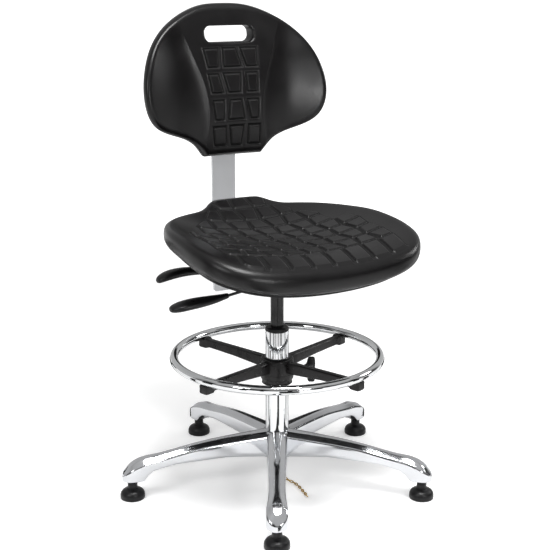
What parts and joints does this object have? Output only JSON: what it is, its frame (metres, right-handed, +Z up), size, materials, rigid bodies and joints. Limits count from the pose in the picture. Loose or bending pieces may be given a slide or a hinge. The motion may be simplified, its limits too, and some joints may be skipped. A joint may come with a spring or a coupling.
{
  "type": "drafting chair",
  "caption": "Drafting chair with moulded foam seat and winged backrest, gas lift, adjustable foot ring, star base on glides and trailing earthing chain.",
  "frame": {"origin": "centre of the lift column on the floor", "axes": "+Z up; the sitter faces -Y; the two levers are on the sitter's right, at -X"},
  "size_m": [0.663, 0.6529, 1.02],
  "materials": {
    "polished_aluminium": "polished die-cast",
    "black_plastic": "satin moulded",
    "black_nylon": "glass-filled nylon, satin",
    "zinc_steel": "zinc plated",
    "chrome": "bright chrome plate",
    "steel": "plain steel",
    "black_steel": "black powder coat",
    "bare_steel": "bright zinc plate",
    "brass": "bright brass links",
    "black_foam": "integral-skin polyurethane, satin"
  },
  "bodies": {
    "base": {"base_casting": "polished_aluminium", "glide_feet": "black_plastic", "glide_stems": "zinc_steel", "glide_collars": "black_plastic", "lift_column": "chrome", "column_guide": "black_plastic", "piston_rod": "steel", "piston_head": "steel", "retaining_clip": "steel", "thrust_washer": "steel", "base_washer": "steel", "chain_anchor": "steel", "ground_chain": "brass"},
    "footring_sleeve": {"footring_bush": "black_plastic"},
    "footring_assembly": {"footring_hub": "black_nylon", "footring": "chrome", "ring_screws": "zinc_steel"},
    "footring_clamp": {"clamp_stud": "zinc_steel", "clamp_knob": "black_plastic"},
    "lift": {"gas_cylinder": "black_steel", "rod_seal": "black_plastic"},
    "valve": {"valve_pin": "steel"},
    "seat": {"taper_socket": "black_steel", "mech_housing": "black_steel", "seat_plate": "black_steel", "lever_brackets": "black_steel", "lever_pins": "steel", "friction_plates": "steel", "seat_bolts": "zinc_steel", "seat_pan": "black_plastic", "seat_cushion": "black_foam", "pivot_pin": "steel"},
    "height_lever": {"height_rod": "black_steel", "height_grip": "black_plastic"},
    "tilt_lever": {"tilt_rod": "black_steel", "tilt_grip": "black_plastic"},
    "back_carrier": {"pivot_tube": "black_steel", "back_arm": "black_steel", "bar_guide": "black_steel", "guide_liner": "black_plastic"},
    "back_clamp": {"back_stud": "zinc_steel", "back_knob": "black_plastic"},
    "backrest": {"back_bar": "bare_steel", "stop_pin": "steel", "back_insert": "black_plastic", "back_screws": "zinc_steel", "back_cushion": "black_foam"}
  },
  "joints": [
    {"name": "seat_height", "type": "slide", "parent": "base", "child": "lift", "axis": [0, 0, 1], "range_m": [-0.045, 0.155]},
    {"name": "valve_press", "type": "slide", "parent": "lift", "child": "valve", "axis": [0, 0, 1], "range_m": [-0.002, 0]},
    {"name": "seat_swivel", "type": "hinge", "parent": "lift", "child": "seat", "pos_m": [0, 0, 0.44], "axis": [0, 0, 1], "continuous": true},
    {"name": "height_lever_lift", "type": "hinge", "parent": "seat", "child": "height_lever", "pos_m": [-0.027, 0, 0.4665], "axis": [0, 1, 0], "range_deg": [0, 4], "stiffness_Nm_per_rad": 8, "springref_deg": -6.88},
    {"name": "tilt_lever_press", "type": "hinge", "parent": "seat", "child": "tilt_lever", "pos_m": [-0.027, 0.08, 0.4665], "axis": [0, 1, 0], "range_deg": [-4, 0], "stiffness_Nm_per_rad": 8, "springref_deg": 6.88},
    {"name": "back_angle", "type": "hinge", "parent": "seat", "child": "back_carrier", "pos_m": [0, 0.205, 0.462], "axis": [-1, 0, 0], "range_deg": [-4, 10]},
    {"name": "back_height", "type": "slide", "parent": "back_carrier", "child": "backrest", "axis": [0, 0, 1], "range_m": [-0.02, 0.036]},
    {"name": "back_clamp_turn", "type": "hinge", "parent": "back_carrier", "child": "back_clamp", "pos_m": [0, 0.26, 0.47], "axis": [0, 1, 0], "range_deg": [-360, 360]},
    {"name": "footring_height", "type": "slide", "parent": "base", "child": "footring_sleeve", "axis": [0, 0, 1], "range_m": [-0.09, 0.008]},
    {"name": "footring_turn", "type": "hinge", "parent": "footring_sleeve", "child": "footring_assembly", "pos_m": [0, 0, 0.25], "axis": [0, 0, 1], "continuous": true},
    {"name": "footring_clamp_turn", "type": "hinge", "parent": "footring_assembly", "child": "footring_clamp", "pos_m": [0.05393, -0.0263, 0.252], "axis": [0.8988, -0.4384, 0], "range_deg": [-360, 360]}
  ],
  "couplings": [
    {"joint": "valve_press", "follows": "height_lever_lift", "m_per_rad": -0.027}
  ]
}
